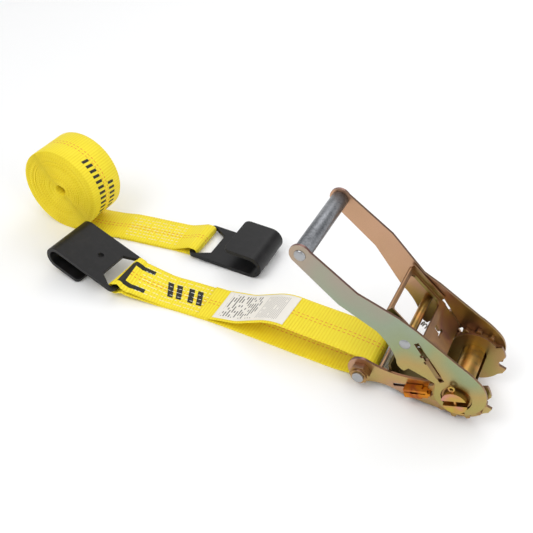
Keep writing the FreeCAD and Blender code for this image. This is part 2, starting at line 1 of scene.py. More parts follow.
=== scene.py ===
import bpy
import bmesh
import json
import math
import numpy as np
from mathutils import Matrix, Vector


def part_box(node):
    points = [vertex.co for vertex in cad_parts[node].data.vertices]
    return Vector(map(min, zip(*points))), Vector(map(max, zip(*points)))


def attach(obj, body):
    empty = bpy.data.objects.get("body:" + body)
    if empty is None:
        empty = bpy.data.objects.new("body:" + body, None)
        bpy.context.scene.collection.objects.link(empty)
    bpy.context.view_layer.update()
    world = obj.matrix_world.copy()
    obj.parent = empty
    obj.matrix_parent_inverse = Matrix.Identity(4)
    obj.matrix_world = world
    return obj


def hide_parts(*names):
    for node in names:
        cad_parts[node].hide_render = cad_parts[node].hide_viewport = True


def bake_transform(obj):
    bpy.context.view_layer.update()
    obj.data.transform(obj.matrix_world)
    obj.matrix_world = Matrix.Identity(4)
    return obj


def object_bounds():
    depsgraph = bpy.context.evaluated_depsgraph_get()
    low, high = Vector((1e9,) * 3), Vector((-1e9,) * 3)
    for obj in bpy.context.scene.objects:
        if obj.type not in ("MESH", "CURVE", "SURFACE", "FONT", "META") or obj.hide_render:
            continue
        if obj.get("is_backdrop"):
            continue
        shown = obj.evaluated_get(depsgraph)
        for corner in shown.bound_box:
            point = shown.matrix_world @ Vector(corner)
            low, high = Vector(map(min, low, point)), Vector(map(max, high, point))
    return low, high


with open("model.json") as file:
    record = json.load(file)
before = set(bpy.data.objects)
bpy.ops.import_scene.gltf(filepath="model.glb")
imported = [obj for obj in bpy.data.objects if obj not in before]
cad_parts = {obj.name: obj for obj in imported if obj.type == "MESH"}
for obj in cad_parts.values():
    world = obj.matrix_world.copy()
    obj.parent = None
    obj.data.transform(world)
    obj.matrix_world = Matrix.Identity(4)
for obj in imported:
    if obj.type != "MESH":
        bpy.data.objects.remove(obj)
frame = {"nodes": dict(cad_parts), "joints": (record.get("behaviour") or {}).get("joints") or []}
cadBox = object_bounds()
joints = {joint["name"]: joint for joint in frame["joints"]}
mm = 0.001
print("frame loaded")


# camera and light

cameraLook = {
    "place": (0.339, -0.6303, 0.641),
    "azimuth": 25.7,  # degrees, turned left from looking along +Y
    "elevation": 40.1,
    "lens": 56.4,
}


def makeCamera(look):
    data = bpy.data.cameras.new("camera")
    data.lens = look["lens"]
    data.sensor_width = 36
    data.clip_end = 20
    made = bpy.data.objects.new("camera", data)
    made.location = look["place"]
    made.rotation_euler = (math.radians(90 - look["elevation"]), 0, math.radians(look["azimuth"]))
    bpy.context.scene.collection.objects.link(made)
    bpy.context.scene.camera = made


lightRig = {
    "key": {"place": (-0.5, -0.9, 1.5), "aim": (0.05, 0, 0), "size": 0.9, "power": 7},
    "fill": {"place": (1.3, -0.5, 0.9), "aim": (0.1, 0, 0), "size": 1.1, "power": 6},
    "back": {"place": (-0.1, 1.3, 1.2), "aim": (0.1, 0, 0.03), "size": 1.2, "power": 5},
    # the sky from the horizon up: bright walls, a darker band that metal can show, bright ceiling
    "sky": [(0.0, "#FFFFFF"), (0.22, "#F4F4F4"), (0.42, "#7C7E82"), (0.58, "#A6A8AA"), (0.78, "#FFFFFF")],
    "skyPower": 1.0,
}


def linear(hexColour, alpha=1.0):
    parts = [int(hexColour[i : i + 2], 16) / 255 for i in (1, 3, 5)]
    return tuple(c / 12.92 if c <= 0.04045 else ((c + 0.055) / 1.055) ** 2.4 for c in parts) + (alpha,)


def addNode(tree, kind, values=(), links=(), **settings):
    made = tree.nodes.new(kind)
    for key, value in settings.items():
        setattr(made, key, value)
    for key, value in dict(values).items():
        made.inputs[key].default_value = value
    for key, source in dict(links).items():
        tree.links.new(source, made.inputs[key])
    return made


def fillRamp(ramp, stops):
    elements = ramp.color_ramp.elements
    while len(elements) > 1:
        elements.remove(elements[-1])
    elements[0].position, elements[0].color = stops[0][0], linear(stops[0][1])
    for position, hexColour in stops[1:]:
        elements.new(position).color = linear(hexColour)


def makeLights(rig):
    for name in ("key", "fill", "back"):
        spec = rig[name]
        data = bpy.data.lights.new(name, "AREA")
        data.shape = "DISK"
        data.size = spec["size"]
        data.energy = spec["power"]
        made = bpy.data.objects.new(name, data)
        place = np.array(spec["place"])
        away = place - np.array(spec["aim"])
        across = math.hypot(away[0], away[1])
        made.location = spec["place"]
        made.rotation_euler = (math.atan2(across, away[2]), 0, math.atan2(away[0], -away[1]))
        bpy.context.scene.collection.objects.link(made)
    world = bpy.data.worlds.new("studio")
    bpy.context.scene.world = world
    world.use_nodes = True
    tree = world.node_tree
    tree.nodes.clear()
    place = addNode(tree, "ShaderNodeTexCoord")
    parts = addNode(tree, "ShaderNodeSeparateXYZ", links={"Vector": place.outputs["Generated"]})
    sky = addNode(tree, "ShaderNodeValToRGB", links={"Fac": parts.outputs["Z"]})
    fillRamp(sky, rig["sky"])
    glow = addNode(
        tree, "ShaderNodeBackground", {"Strength": rig["skyPower"]}, {"Color": sky.outputs["Color"]}
    )
    addNode(tree, "ShaderNodeOutputWorld", links={"Surface": glow.outputs["Background"]})


makeCamera(cameraLook)
makeLights(lightRig)
bpy.context.scene.view_settings.view_transform = "Standard"
print("camera and lights set")


# finishes

def startMaterial(name, metallic, roughness, colour="#808080"):
    made = bpy.data.materials.new(name)
    made.use_nodes = True
    tree = made.node_tree
    tree.nodes.clear()
    shader = addNode(
        tree,
        "ShaderNodeBsdfPrincipled",
        {"Metallic": metallic, "Roughness": roughness, "Base Color": linear(colour)},
    )
    addNode(tree, "ShaderNodeOutputMaterial", links={"Surface": shader.outputs["BSDF"]})
    return made, tree, shader


def bumpOn(tree, shader, height, distance, strength=1.0):
    bump = addNode(
        tree,
        "ShaderNodeBump",
        {"Distance": distance, "Strength": strength},
        {"Height": height},
    )
    tree.links.new(bump.outputs["Normal"], shader.inputs["Normal"])


zincLook = {
    "grain": 0.6 * mm,  # fine mottling of the plated sheet
    "roughness": (0.26, 0.40),
}


def yellowZinc(name, stops, edgeStops, patch, spreadZ=0.0, seed=0.0):
    # yellow chromate over zinc on pressed steel: a satin mirror with slowly drifting hues.
    # patch is the length over which the hue drifts, spreadZ the height that runs through it all
    made, tree, shader = startMaterial(name, 1.0, 0.36)
    place = addNode(tree, "ShaderNodeTexCoord")
    patches = addNode(
        tree,
        "ShaderNodeTexNoise",
        {"Scale": 1 / patch, "Detail": 1.6, "Roughness": 0.45, "Distortion": 0.35, "W": seed},
        {"Vector": place.outputs["Object"]},
        noise_dimensions="4D",
    )
    spread = addNode(
        tree,
        "ShaderNodeMapRange",
        {"From Min": 0.3, "From Max": 0.7},
        {"Value": patches.outputs["Fac"]},
    ).outputs["Result"]
    if spreadZ:
        height = addNode(tree, "ShaderNodeSeparateXYZ", links={"Vector": place.outputs["Object"]})
        rise = addNode(
            tree, "ShaderNodeMath", {1: 1 / spreadZ}, {0: height.outputs["Z"]}, operation="MULTIPLY"
        )
        spread = addNode(
            tree, "ShaderNodeMix", {"Factor": 0.3}, {"A": rise.outputs["Value"], "B": spread}
        ).outputs["Result"]
    faces = addNode(tree, "ShaderNodeValToRGB", links={"Fac": spread})
    fillRamp(faces, stops)
    edges = addNode(tree, "ShaderNodeValToRGB", links={"Fac": spread})
    fillRamp(edges, edgeStops)
    parts = addNode(tree, "ShaderNodeSeparateXYZ", links={"Vector": place.outputs["Normal"]})
    side = addNode(tree, "ShaderNodeMath", links={0: parts.outputs["Y"]}, operation="ABSOLUTE")
    facing = addNode(
        tree,
        "ShaderNodeMapRange",
        {"From Min": 0.35, "From Max": 0.85},
        {"Value": side.outputs["Value"]},
    )
    hue = addNode(
        tree,
        "ShaderNodeMix",
        links={"Factor": facing.outputs["Result"], "A": edges.outputs["Color"], "B": faces.outputs["Color"]},
        data_type="RGBA",
    )
    grain = addNode(
        tree,
        "ShaderNodeTexNoise",
        {"Scale": 1 / zincLook["grain"], "Detail": 2.0},
        {"Vector": place.outputs["Object"]},
    )
    mottle = addNode(
        tree,
        "ShaderNodeMix",
        {"Factor": 0.14},
        {"A": hue.outputs["Result"], "B": grain.outputs["Fac"]},
        data_type="RGBA",
        blend_type="OVERLAY",
    )
    tree.links.new(mottle.outputs["Result"], shader.inputs["Base Color"])
    low, high = zincLook["roughness"]
    rough = addNode(
        tree,
        "ShaderNodeMapRange",
        {"To Min": low, "To Max": high},
        {"Value": grain.outputs["Fac"]},
    )
    tree.links.new(rough.outputs["Result"], shader.inputs["Roughness"])
    bumpOn(tree, shader, grain.outputs["Fac"], 0.03 * mm, 0.5)
    return made


def shadeBetweenPlates(made, inner, middleY, near, far):
    # paints shade on a piece: within near either side of its middle it takes the colour inner, a painted
    # shade, and beyond far it keeps its own colour
    tree = made.node_tree
    shader = [node for node in tree.nodes if node.type == "BSDF_PRINCIPLED"][0]
    place = addNode(tree, "ShaderNodeTexCoord")
    parts = addNode(tree, "ShaderNodeSeparateXYZ", links={"Vector": place.outputs["Object"]})
    moved = addNode(tree, "ShaderNodeMath", {1: middleY}, {0: parts.outputs["Y"]}, operation="SUBTRACT")
    away = addNode(tree, "ShaderNodeMath", links={0: moved.outputs["Value"]}, operation="ABSOLUTE")
    share = addNode(
        tree, "ShaderNodeMapRange", {"From Min": near, "From Max": far}, {"Value": away.outputs["Value"]}
    )
    before = shader.inputs["Base Color"].links[0].from_socket
    mixed = addNode(
        tree,
        "ShaderNodeMix",
        {"A": linear(inner)},
        {"Factor": share.outputs["Result"], "B": before},
        data_type="RGBA",
    )
    tree.links.new(mixed.outputs["Result"], shader.inputs["Base Color"])
    return made


handleHues = [
    (0.0, "#C29A68"), (0.2, "#AFA262"), (0.34, "#B59C64"), (0.48, "#97A07A"),
    (0.66, "#98A28C"), (0.8, "#A49A8C"), (0.9, "#B4987E"), (1.0, "#BC9280"),
]
farHues = [
    (0.0, "#A68C5A"), (0.2, "#8A6A50"), (0.36, "#96745A"), (0.5, "#BCA05C"),
    (0.62, "#BC9678"), (0.8, "#C49C80"), (1.0, "#C09486"),
]
frameHues = [(0.0, "#A3A468"), (0.35, "#B9A868"), (0.65, "#C2A06E"), (1.0, "#BE9684")]
wheelHues = [(0.0, "#A89658"), (0.5, "#B08A5A"), (1.0, "#96784E")]
edgeHues = [(0.0, "#7A5E4C"), (0.4, "#97785A"), (0.7, "#8D6E5C"), (1.0, "#80606A")]
spindleHues = [(0.0, "#A8843C"), (0.35, "#8E7444"), (0.6, "#B08A4A"), (1.0, "#C58A50")]
spindleEnds = [(0.0, "#C0B04A"), (0.5, "#C79A5A"), (1.0, "#CF8F88")]
pawlHues = [(0.0, "#8A6A55"), (0.4, "#A07C5A"), (0.7, "#8C665C"), (1.0, "#A08A55")]
pawlEdges = [(0.0, "#9A8C50"), (0.5, "#8A6E50"), (1.0, "#A89A5C")]
copperHues = [(0.0, "#D88E28"), (0.4, "#C87A28"), (0.7, "#A85A34"), (1.0, "#E3A03C")]


steelLook = {"roughness": 0.3, "mark": 0.5 * mm}


def brightSteel(name, colour, roughness):
    # clear zinc on a turned rivet or drawn tube: grey, faintly pitted
    made, tree, shader = startMaterial(name, 1.0, roughness, colour)
    place = addNode(tree, "ShaderNodeTexCoord")
    pits = addNode(
        tree,
        "ShaderNodeTexNoise",
        {"Scale": 1 / steelLook["mark"], "Detail": 3.0},
        {"Vector": place.outputs["Object"]},
    )
    worn = addNode(tree, "ShaderNodeMapRange", {"To Min": roughness - 0.08, "To Max": roughness + 0.14},
                   {"Value": pits.outputs["Fac"]})
    tree.links.new(worn.outputs["Result"], shader.inputs["Roughness"])
    bumpOn(tree, shader, pits.outputs["Fac"], 0.03 * mm, 0.4)
    return made


gripLook = {"brush": 0.35 * mm, "streak": 30 * mm, "scratch": 5 * mm}


def drawnAluminium(name):
    # drawn aluminium tube, handled: streaks along its length and darker scuffs
    made, tree, shader = startMaterial(name, 1.0, 0.34)
    place = addNode(tree, "ShaderNodeTexCoord")
    along = addNode(
        tree,
        "ShaderNodeMapping",
        {"Scale": (1 / gripLook["brush"], 1 / gripLook["streak"], 1 / gripLook["brush"])},
        {"Vector": place.outputs["Object"]},
    )
    streaks = addNode(
        tree, "ShaderNodeTexNoise", {"Scale": 1.0, "Detail": 2.0}, {"Vector": along.outputs["Vector"]}
    )
    scuffs = addNode(
        tree,
        "ShaderNodeTexNoise",
        {"Scale": 1 / gripLook["scratch"], "Detail": 6.0, "Roughness": 0.7, "Distortion": 1.5},
        {"Vector": place.outputs["Object"]},
    )
    tone = addNode(tree, "ShaderNodeValToRGB", links={"Fac": scuffs.outputs["Fac"]})
    fillRamp(tone, [(0.30, "#66686C"), (0.47, "#84868A"), (0.62, "#95979B"), (0.78, "#75777B")])
    tree.links.new(tone.outputs["Color"], shader.inputs["Base Color"])
    rough = addNode(
        tree, "ShaderNodeMapRange", {"To Min": 0.26, "To Max": 0.5}, {"Value": streaks.outputs["Fac"]}
    )
    tree.links.new(rough.outputs["Result"], shader.inputs["Roughness"])
    bumpOn(tree, shader, streaks.outputs["Fac"], 0.05 * mm, 0.5)
    return made


hookLook = {"colour": "#0E0D0E", "worn": "#1D1B1C", "peel": 0.9 * mm, "roughness": (0.36, 0.5), "shine": 0.3}


def blackCoat(name):
    # powder coat on forged flat bar: satin black with a fine orange peel
    made, tree, shader = startMaterial(name, 0.0, 0.42, hookLook["colour"])
    shader.inputs["Specular IOR Level"].default_value = hookLook["shine"]
    place = addNode(tree, "ShaderNodeTexCoord")
    peel = addNode(
        tree,
        "ShaderNodeTexNoise",
        {"Scale": 1 / hookLook["peel"], "Detail": 2.5},
        {"Vector": place.outputs["Object"]},
    )
    dust = addNode(
        tree,
        "ShaderNodeTexNoise",
        {"Scale": 90.0, "Detail": 7.0, "Roughness": 0.7},
        {"Vector": place.outputs["Object"]},
    )
    tone = addNode(tree, "ShaderNodeValToRGB", links={"Fac": dust.outputs["Fac"]})
    fillRamp(tone, [(0.45, hookLook["colour"]), (0.75, hookLook["worn"])])
    tree.links.new(tone.outputs["Color"], shader.inputs["Base Color"])
    low, high = hookLook["roughness"]
    rough = addNode(
        tree, "ShaderNodeMapRange", {"To Min": low, "To Max": high}, {"Value": dust.outputs["Fac"]}
    )
    tree.links.new(rough.outputs["Result"], shader.inputs["Roughness"])
    bumpOn(tree, shader, peel.outputs["Fac"], 0.12 * mm, 0.5)
    return made


webShape = {
    "width": 50.8 * mm,
    "thick": 1.5 * mm,
    "scallop": 0.45 * mm,  # the weft loops stand out of the edge by this
    "scallopPitch": 3.4 * mm,
}

webLook = {
    "yellow": "#F2DA10",
    # shade and light are painted shade in the weave's valleys and a painted highlight on its rib crests
    "shade": "#E0BE04",
    "light": "#F7E32C",
    "tracer": "#E2701C",
    "print": "#16150F",
    "rib": 3.4 * mm,  # one heavy weft rib along the webbing
    "fine": 0.85 * mm,  # the finer weft between the ribs
    "warp": 1.3 * mm,  # one warp cord across it
    "tracerGap": 4.4 * mm,  # between the two tracer lines
    "tracerWide": 0.9 * mm,
    "dash": 5.4 * mm,
}


def compare(tree, value, limit, operation="LESS_THAN"):
    return addNode(tree, "ShaderNodeMath", {1: limit}, {0: value}, operation=operation).outputs["Value"]


def both(tree, first, second):
    return addNode(tree, "ShaderNodeMath", links={0: first, 1: second}, operation="MULTIPLY").outputs["Value"]


def polyesterWeb(name, bars=(), repeat=None):
    # tightly woven polyester webbing: UV runs across (x) and along (y) it, both in metres.
    # bars are printed blocks: (start, end, low, high, slant) in metres; repeat is the pitch and
    # length of the short bars that each block is made of, where it isn't solid
    made, tree, shader = startMaterial(name, 0.0, 0.62, webLook["yellow"])
    shader.inputs["Sheen Weight"].default_value = 0.06
    shader.inputs["Sheen Roughness"].default_value = 0.4
    shader.inputs["Sheen Tint"].default_value = linear("#FFF3A0")
    place = addNode(tree, "ShaderNodeUVMap", uv_map="weave")
    parts = addNode(tree, "ShaderNodeSeparateXYZ", links={"Vector": place.outputs["UV"]})
    across, along = parts.outputs["X"], parts.outputs["Y"]

    def wave(source, pitch):
        turn = addNode(tree, "ShaderNodeMath", {1: 2 * math.pi / pitch}, {0: source}, operation="MULTIPLY")
        swing = addNode(tree, "ShaderNodeMath", links={0: turn.outputs["Value"]}, operation="SINE")
        return swing.outputs["Value"]

    ribs, fine = wave(along, webLook["rib"]), wave(along, webLook["fine"])
    cords = wave(across, webLook["warp"])
    woven = addNode(tree, "ShaderNodeMath", links={0: fine, 1: cords}, operation="MULTIPLY")
    woven = addNode(tree, "ShaderNodeMath", {1: 0.45}, {0: woven.outputs["Value"]}, operation="MULTIPLY")
    height = addNode(tree, "ShaderNodeMath", links={0: ribs, 1: woven.outputs["Value"]}, operation="ADD")
    lift = addNode(
        tree,
        "ShaderNodeMapRange",
        {"From Min": -1.45, "From Max": 1.45},
        {"Value": height.outputs["Value"]},
    )
    space = addNode(tree, "ShaderNodeTexCoord")
    fade = addNode(
        tree,
        "ShaderNodeTexNoise",
        {"Scale": 45.0, "Detail": 4.0},
        {"Vector": space.outputs["Object"]},
    )
    fleck = addNode(tree, "ShaderNodeMath", {1: 0.55}, {0: fade.outputs["Fac"]}, operation="MULTIPLY")
    # rib height plus random flecks sets the colour: painted shade in the rib valleys, painted highlight on
    # the rib crests
    ribShadeAndFleck = addNode(
        tree, "ShaderNodeMath", links={0: lift.outputs["Result"], 1: fleck.outputs["Value"]}, operation="ADD"
    )
    tone = addNode(tree, "ShaderNodeValToRGB", links={"Fac": ribShadeAndFleck.outputs["Value"]})
    fillRamp(tone, [(0.1, webLook["shade"]), (0.55, webLook["yellow"]), (1.1, webLook["light"])])
    offset = addNode(tree, "ShaderNodeMath", links={0: across}, operation="ABSOLUTE")
    near = addNode(
        tree, "ShaderNodeMath", {1: webLook["tracerGap"] / 2}, {0: offset.outputs["Value"]},
        operation="SUBTRACT",
    )
    near = addNode(tree, "ShaderNodeMath", links={0: near.outputs["Value"]}, operation="ABSOLUTE")
    line = compare(tree, near.outputs["Value"], webLook["tracerWide"] / 2)
    step = addNode(tree, "ShaderNodeMath", {1: webLook["dash"]}, {0: along}, operation="FLOORED_MODULO")
    dashed = both(tree, line, compare(tree, step.outputs["Value"], webLook["dash"] * 0.55))
    traced = addNode(
        tree,
        "ShaderNodeMix",
        {"B": linear(webLook["tracer"])},
        {"Factor": dashed, "A": tone.outputs["Color"]},
        data_type="RGBA",
    )
    colour = traced.outputs["Result"]
    for start, end, low, high, slant in bars:
        skew = addNode(tree, "ShaderNodeMath", {1: slant}, {0: across}, operation="MULTIPLY")
        shifted = addNode(tree, "ShaderNodeMath", links={0: along, 1: skew.outputs["Value"]}, operation="ADD")
        inside = both(
            tree,
            both(
                tree,
                compare(tree, shifted.outputs["Value"], end),
                compare(tree, shifted.outputs["Value"], start, "GREATER_THAN"),
            ),
            both(tree, compare(tree, across, high), compare(tree, across, low, "GREATER_THAN")),
        )
        if repeat:
            beat = addNode(
                tree, "ShaderNodeMath", {1: repeat[0]}, {0: shifted.outputs["Value"]},
                operation="FLOORED_MODULO",
            )
            inside = both(tree, inside, compare(tree, beat.outputs["Value"], repeat[1]))
        inked = addNode(
            tree,
            "ShaderNodeMix",
            {"B": linear(webLook["print"])},
            {"Factor": inside, "A": colour},
            data_type="RGBA",
        )
        colour = inked.outputs["Result"]
    tree.links.new(colour, shader.inputs["Base Color"])
    # the narrow edges of the webbing carry no ribs of their own
    broad = compare(tree, offset.outputs["Value"], webShape["width"] / 2 - 0.6 * mm)
    bumpOn(tree, shader, both(tree, lift.outputs["Result"], broad), 0.35 * mm, 0.9)
    return made


labelLook = {
    "paper": "#ECE7DE",
    "ink": "#67635F",
    "line": 3.3 * mm,  # from one row of marks to the next
    "fine": 2.0 * mm,
    "word": 3.6 * mm,
    "margin": 19 * mm,
}


def coatedLabel(name):
    # coated label sewn to the webbing: warm white with rows of soft grey marks; UV in metres
    made, tree, shader = startMaterial(name, 0.0, 0.38, labelLook["paper"])
    place = addNode(tree, "ShaderNodeUVMap", uv_map="weave")
    parts = addNode(tree, "ShaderNodeSeparateXYZ", links={"Vector": place.outputs["UV"]})
    across, along = parts.outputs["X"], parts.outputs["Y"]
    off = addNode(tree, "ShaderNodeMath", links={0: across}, operation="ABSOLUTE").outputs["Value"]
    within = compare(tree, off, labelLook["margin"])

    def rows(pitch, share, start, end, cover):
        row = addNode(tree, "ShaderNodeMath", {1: pitch}, {0: along}, operation="FLOORED_MODULO")
        line = compare(tree, row.outputs["Value"], pitch * share)
        cell = addNode(
            tree,
            "ShaderNodeMapping",
            {"Scale": (1 / labelLook["word"], 1 / pitch, 1.0)},
            {"Vector": place.outputs["UV"]},
        )
        word = addNode(
            tree, "ShaderNodeTexWhiteNoise", links={"Vector": addNode(
                tree, "ShaderNodeVectorMath", links={0: cell.outputs["Vector"]}, operation="FLOOR"
            ).outputs["Vector"]}, noise_dimensions="2D"
        )
        marks = both(tree, line, compare(tree, word.outputs["Value"], cover))
        zone = both(tree, compare(tree, along, end), compare(tree, along, start, "GREATER_THAN"))
        return both(tree, both(tree, marks, zone), within)

    bold = rows(labelLook["line"], 0.42, 42 * mm, 86 * mm, 0.6)
    small = rows(labelLook["fine"], 0.42, 10 * mm, 38 * mm, 0.92)
    faint = addNode(tree, "ShaderNodeMath", {1: 0.45}, {0: small}, operation="MULTIPLY")
    printed = addNode(tree, "ShaderNodeMath", links={0: bold, 1: faint.outputs["Value"]}, operation="MAXIMUM")
    inked = addNode(
        tree,
        "ShaderNodeMix",
        {"A": linear(labelLook["paper"]), "B": linear(labelLook["ink"])},
        {"Factor": printed.outputs["Value"]},
        data_type="RGBA",
    )
    tree.links.new(inked.outputs["Result"], shader.inputs["Base Color"])
    return made


def plainPaint(name, colour, roughness):
    return startMaterial(name, 0.0, roughness, colour)[0]


finishes = {
    "handle": yellowZinc("yellow zinc on handle plate", handleHues, edgeHues, 75 * mm, 165 * mm),
    "handleFar": yellowZinc("yellow zinc on far handle plate", farHues, edgeHues, 60 * mm, 165 * mm, 9.0),
    "frame": yellowZinc("yellow zinc on frame plate", frameHues, edgeHues, 50 * mm, 0.0, 2.0),
    "wheel": yellowZinc("yellow zinc on ratchet wheel", wheelHues, edgeHues, 20 * mm, 0.0, 4.0),
    "warm": yellowZinc("yellow zinc on machined spindle", spindleEnds, spindleHues, 14 * mm, 0.0, 3.0),
    "pawl": yellowZinc("brown zinc on drive pawl", pawlEdges, pawlHues, 35 * mm, 0.0, 5.0),
    # the stop pawl's middle, between the frame plates, is painted shade #6B5E3C; its ends keep the copper
    # zinc
    "copper": shadeBetweenPlates(
        yellowZinc("copper zinc on stop pawl", copperHues, copperHues, 14 * mm, 0.0, 7.0),
        "#6B5E3C", -38 * mm, 28 * mm, 30 * mm,
    ),
    "bright": brightSteel("clear zinc rivet", "#A9AAAC", 0.3),
    "spring": brightSteel("drawn spring wire", "#8E8B84", 0.26),
    "grip": drawnAluminium("drawn aluminium grip"),
    "hook": blackCoat("satin black powder coat"),
    "label": coatedLabel("coated label"),
    "thread": plainPaint("white sewing thread", "#F3F1E8", 0.6),
}
print("finishes made")


# general mesh help

def meshObject(name, points, faces, finish, uvs=None, smooth=True):
    data = bpy.data.meshes.new(name)
    data.from_pydata([tuple(p) for p in points], [], faces)
    if uvs is not None:
        layer = data.uv_layers.new(name="weave")
        loops = np.array([corner for face in uvs for corner in face], dtype=float)
        layer.data.foreach_set("uv", loops.ravel())
    data.polygons.foreach_set("use_smooth", [smooth] * len(data.polygons))
    data.validate()
    data.update()
    made = bpy.data.objects.new(name, data)
    bpy.context.scene.collection.objects.link(made)
    if finish is not None:
        data.materials.append(finish)
    return made


def finishPiece(made, body, slotName, *nodes):
    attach(made, body)
    if nodes:
        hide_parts(*nodes)
    return made


edgeLook = {"merge": 0.01 * mm, "flat": 1.0, "sharp": 28.0}  # mm and degrees


def softCopy(node, finish, body, slotName, bevel=0.5 * mm, segments=2):
    # the node's own shape with its sharp edges rolled over, so they catch the light
    data = frame["nodes"][node].data.copy()
    data.name = node + "Soft"
    work = bmesh.new()
    work.from_mesh(data)
    bmesh.ops.remove_doubles(work, verts=work.verts, dist=edgeLook["merge"])
    bmesh.ops.dissolve_limit(
        work, angle_limit=math.radians(edgeLook["flat"]), verts=work.verts, edges=work.edges
    )
    work.to_mesh(data)
    work.free()
    data.materials.clear()
    data.materials.append(finish)
    data.polygons.foreach_set("use_smooth", [True] * len(data.polygons))
    made = bpy.data.objects.new(node + "Soft", data)
    bpy.context.scene.collection.objects.link(made)
    roll = made.modifiers.new("bevel", "BEVEL")
    roll.width = bevel
    roll.segments = segments
    roll.limit_method = "ANGLE"
    roll.angle_limit = math.radians(edgeLook["sharp"])
    roll.use_clamp_overlap = True
    weigh = made.modifiers.new("weigh", "WEIGHTED_NORMAL")
    weigh.keep_sharp = False
    weigh.weight = 80
    made.data = plainMesh(made)
    return finishPiece(made, body, slotName, node)


def plainMesh(made):
    # the shape with its modifiers used up
    graph = bpy.context.evaluated_depsgraph_get()
    data = bpy.data.meshes.new_from_object(
        made.evaluated_get(graph), preserve_all_data_layers=True, depsgraph=graph
    )
    made.modifiers.clear()
    return data


metalPieces = {
    # node: (finish, body, slot, bevel)
    "frame": ("frame", "ratchet_frame", "zinc", 0.45 * mm),
    "anchor_bolt": ("bright", "ratchet_frame", "zinc", 0.4 * mm),
    "anchor_nut": ("wheel", "ratchet_frame", "zinc", 0.4 * mm),
    "anchor_spacer": ("bright", "ratchet_frame", "zinc", 0.2 * mm),
    "spindle_bar_upper": ("warm", "spindle", "zinc", 0.5 * mm),
    "spindle_bar_lower": ("warm", "spindle", "zinc", 0.5 * mm),
    "ratchet_wheel_near": ("wheel", "spindle", "zinc", 0.35 * mm),
    "ratchet_wheel_far": ("wheel", "spindle", "zinc", 0.35 * mm),
    "cotter_pin_near": ("warm", "spindle", "spring_steel", 0.2 * mm),
    "cotter_pin_far": ("warm", "spindle", "spring_steel", 0.2 * mm),
    "handle_plate_near": ("handle", "handle", "zinc", 0.5 * mm),
    "handle_plate_far": ("handleFar", "handle", "zinc", 0.5 * mm),
    "crossbar_tube": ("warm", "handle", "bare_steel", 0.2 * mm),
    "drive_pawl": ("pawl", "drive_pawl", "zinc", 0.5 * mm),
    "stop_pawl": ("copper", "stop_pawl", "copper_zinc", 0.9 * mm),
    "hook_short": ("hook", "short_hook", "hook_paint", 1.1 * mm),
    "hook_long": ("hook", "long_hook", "hook_paint", 1.1 * mm),
}
for node, (finish, body, slotName, bevel) in metalPieces.items():
    softCopy(node, finishes[finish], body, slotName, bevel, 3 if bevel > 0.6 * mm else 2)
print("metal pieces softened")


# swept and turned pieces

def lathe(name, profile, centre, axis, finish, turns=48):
    # profile: (distance along the axis, radius) from one end to the other, in metres
    axis = np.array(axis) / np.linalg.norm(axis)
    first = np.cross(axis, (0.0, 0.0, 1.0))
    first /= np.linalg.norm(first)
    second = np.cross(axis, first)
    points, faces = [], []
    for distance, radius in profile:
        for k in range(turns):
            angle = 2 * math.pi * k / turns
            points.append(
                np.array(centre) + axis * distance
                + radius * (first * math.cos(angle) + second * math.sin(angle))
            )
    rings = len(profile)
    for j in range(rings - 1):
        for k in range(turns):
            nextK = (k + 1) % turns
            faces.append((j * turns + k, j * turns + nextK, (j + 1) * turns + nextK, (j + 1) * turns + k))
    faces.append(tuple(range(turns))[::-1])
    faces.append(tuple((rings - 1) * turns + k for k in range(turns)))
    made = meshObject(name, points, faces, finish)
    outward(made)
    return made


def outward(made):
    work = bmesh.new()
    work.from_mesh(made.data)
    bmesh.ops.recalc_face_normals(work, faces=work.faces)
    work.to_mesh(made.data)
    work.free()


def nodeAxis(node):
    # the box's middle, long axis, half-length and radius of a rod-shaped node
    points = np.array([v.co for v in frame["nodes"][node].data.vertices])
    low, high = points.min(0), points.max(0)
    spread = points - points.mean(0)
    axis = np.linalg.svd(spread, full_matrices=False)[2][0]
    along = spread @ axis
    centre = points.mean(0) + axis * (along.max() + along.min()) / 2
    across = np.linalg.norm((points - centre) - np.outer((points - centre) @ axis, axis), axis=1)
    return (low + high) / 2, axis, (along.max() - along.min()) / 2, across.max()


def tube(name, line, radius, finish, sides=10):
    # a round wire along a line of points
    line = np.array(line)
    count = len(line)
    ahead = np.gradient(line, axis=0)
    ahead /= np.linalg.norm(ahead, axis=1)[:, None]
    points, faces = [], []
    up = np.cross(ahead[0], (0.31, 0.52, 0.79))
    up /= np.linalg.norm(up)
    for k in range(count):
        up = up - ahead[k] * (up @ ahead[k])
        up /= np.linalg.norm(up)
        side = np.cross(ahead[k], up)
        for j in range(sides):
            angle = 2 * math.pi * j / sides
            points.append(line[k] + radius * (up * math.cos(angle) + side * math.sin(angle)))
    for k in range(count - 1):
        for j in range(sides):
            nextJ = (j + 1) % sides
            faces.append((k * sides + j, k * sides + nextJ, (k + 1) * sides + nextJ, (k + 1) * sides + j))
    faces.append(tuple(range(sides))[::-1])
    faces.append(tuple((count - 1) * sides + j for j in range(sides)))
    made = meshObject(name, points, faces, finish)
    outward(made)
    return made


def coil(name, node, wire, turns):
    # a compression spring in place of a tube-shaped node, its end turns closed up
    centre, axis, half, radius = nodeAxis(node)
    first = np.cross(axis, (0.0, 1.0, 0.0))
    first /= np.linalg.norm(first)
    second = np.cross(axis, first)
    reach, line = half - wire, []
    samples = int(turns * 24)
    for k in range(samples + 1):
        share = k / samples
        angle = 2 * math.pi * turns * share
        eased = np.clip((share - 1 / turns) / (1 - 2 / turns), 0, 1)
        closed = wire * 2 * (min(share * turns, 1) - max(0, min((1 - share) * turns, 1)))
        place = -reach + wire * 2 + (2 * reach - 4 * wire) * eased + closed
        line.append(
            centre + axis * place
            + (radius - wire) * (first * math.cos(angle) + second * math.sin(angle))
        )
    return tube(name, line, wire, finishes["spring"], 8)


springLook = {"wire": 0.6 * mm, "turns": 7.5}
